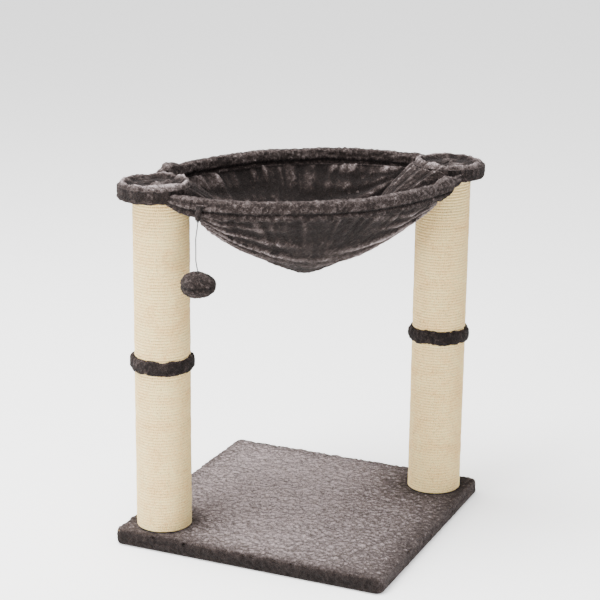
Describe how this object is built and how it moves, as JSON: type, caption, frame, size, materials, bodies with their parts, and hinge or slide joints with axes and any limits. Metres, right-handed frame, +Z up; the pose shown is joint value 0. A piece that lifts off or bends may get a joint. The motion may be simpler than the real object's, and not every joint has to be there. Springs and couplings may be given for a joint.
{
  "type": "cat tree",
  "caption": "Low cat tree: square plush base, rope-wound posts on a diagonal, oval plush hammock on a steel hoop between their tops, hanging plush ball toy.",
  "frame": {"origin": "bottom centre of the square base, on the floor", "axes": "+Z up; the posts stand on the diagonal from the -X -Y corner (left) to the +X +Y corner (right); the +X -Y corner is the front"},
  "size_m": [0.4062, 0.4172, 0.5151],
  "materials": {
    "plush": "short charcoal brown plush pile with lighter ridges",
    "rope": "pale beige sisal rope wound tight",
    "board": "raw particle board and plywood",
    "cardboard": "brown spiral-wound cardboard tube",
    "plug": "black moulded plastic",
    "zinc": "zinc-plated steel fasteners",
    "rod": "black powder-coated steel rod",
    "string": "grey twisted cord"
  },
  "bodies": {
    "tree": {"base_board": "board", "base_cover": "plush", "base_staples": "zinc", "base_bolt_left": "zinc", "base_bolt_right": "zinc", "base_washer_left": "zinc", "base_washer_right": "zinc", "lower_tube_left": "cardboard", "lower_tube_right": "cardboard", "upper_tube_left": "cardboard", "upper_tube_right": "cardboard", "lower_rope_left": "rope", "lower_rope_right": "rope", "upper_rope_left": "rope", "upper_rope_right": "rope", "lower_foot_plug_left": "plug", "lower_foot_plug_right": "plug", "lower_head_plug_left": "plug", "lower_head_plug_right": "plug", "upper_foot_plug_left": "plug", "upper_foot_plug_right": "plug", "upper_head_plug_left": "plug", "upper_head_plug_right": "plug", "insert_nuts_left": "zinc", "insert_nuts_right": "zinc", "joint_stud_left": "zinc", "joint_stud_right": "zinc", "post_band_left": "plush", "post_band_right": "plush", "cap_lower_disc_left": "board", "cap_lower_disc_right": "board", "cap_upper_disc_left": "board", "cap_upper_disc_right": "board", "cap_screws_left": "zinc", "cap_screws_right": "zinc", "top_bolt_left": "zinc", "top_bolt_right": "zinc", "top_washer_left": "zinc", "top_washer_right": "zinc", "cap_cover_left": "plush", "cap_cover_right": "plush", "hoop": "rod", "rim_sleeve_front": "plush", "rim_sleeve_back": "plush", "hammock_bowl": "plush", "toy_tab": "plush"},
    "toy_knot": {"toy_knot": "string"},
    "toy_cord": {"toy_string": "string"},
    "toy_ball": {"toy_ball": "plush"}
  },
  "joints": [
    {"name": "toy_swing_out", "type": "hinge", "parent": "tree", "child": "toy_knot", "pos_m": [-0.07099, -0.18965, 0.47295], "axis": [-0.4825, -0.8759, 0], "range_deg": [-10, 75]},
    {"name": "toy_swing_across", "type": "hinge", "parent": "toy_knot", "child": "toy_cord", "pos_m": [-0.07099, -0.18965, 0.47295], "axis": [0.8759, -0.4825, 0], "range_deg": [-40, 40]},
    {"name": "toy_ball_spin", "type": "hinge", "parent": "toy_cord", "child": "toy_ball", "pos_m": [-0.07099, -0.18965, 0.47295], "axis": [0, 0, 1], "continuous": true}
  ]
}
